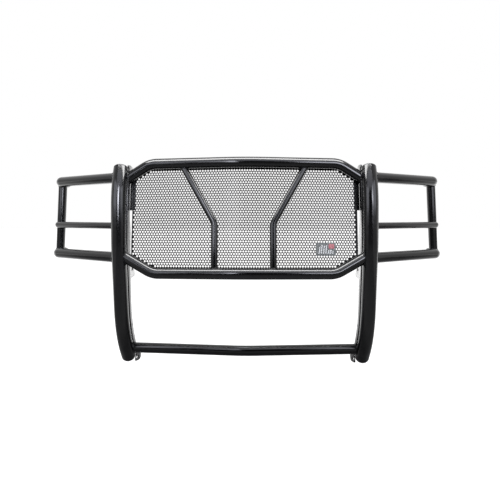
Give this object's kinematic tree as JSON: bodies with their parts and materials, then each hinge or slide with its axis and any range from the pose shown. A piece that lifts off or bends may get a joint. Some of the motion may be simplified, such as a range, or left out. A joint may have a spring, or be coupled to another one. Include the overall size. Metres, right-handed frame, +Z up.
{
  "type": "front grille guard",
  "caption": "Welded tube guard for the front of a pickup truck, with a punched screen before the grille, side wings before the headlights and slotted mounting ears.",
  "frame": {"origin": "on the floor plane under the middle of the guard's box, which is its plane of symmetry and half way along its depth", "axes": "+Z up; the screen faces -Y, which is the truck's forward direction; +X is to the right of someone who faces the screen; the wings sweep back to +Y"},
  "size_m": [2.031, 0.4972, 1.023],
  "materials": {
    "tube_coat": "satin black powder coat on steel tube",
    "plate_coat": "satin black powder coat on steel plate",
    "screen_coat": "satin black powder coat on punched steel sheet",
    "end_cap": "moulded black plastic",
    "badge_metal": "brushed and clear coated"
  },
  "bodies": {
    "root": {"upright_left": "tube_coat", "upright_top_cap_left": "end_cap", "upright_foot_cap_left": "end_cap", "web_plate_left": "plate_coat", "corner_gusset_left": "plate_coat", "brace_left": "tube_coat", "wing_upper_tube_left": "tube_coat", "wing_middle_tube_left": "tube_coat", "wing_lower_tube_left": "tube_coat", "wing_post_left": "tube_coat", "wing_upper_end_cap_left": "end_cap", "wing_lower_end_cap_left": "end_cap", "badge_rivet_left": "badge_metal", "upright_right": "tube_coat", "upright_top_cap_right": "end_cap", "upright_foot_cap_right": "end_cap", "web_plate_right": "plate_coat", "corner_gusset_right": "plate_coat", "brace_right": "tube_coat", "wing_upper_tube_right": "tube_coat", "wing_middle_tube_right": "tube_coat", "wing_lower_tube_right": "tube_coat", "wing_post_right": "tube_coat", "wing_upper_end_cap_right": "end_cap", "wing_lower_end_cap_right": "end_cap", "badge_rivet_right": "badge_metal", "frame_top_tube": "tube_coat", "frame_bottom_tube": "tube_coat", "lower_crossbar": "tube_coat", "grille_screen": "screen_coat", "badge": "badge_metal"}
  },
  "joints": []
}
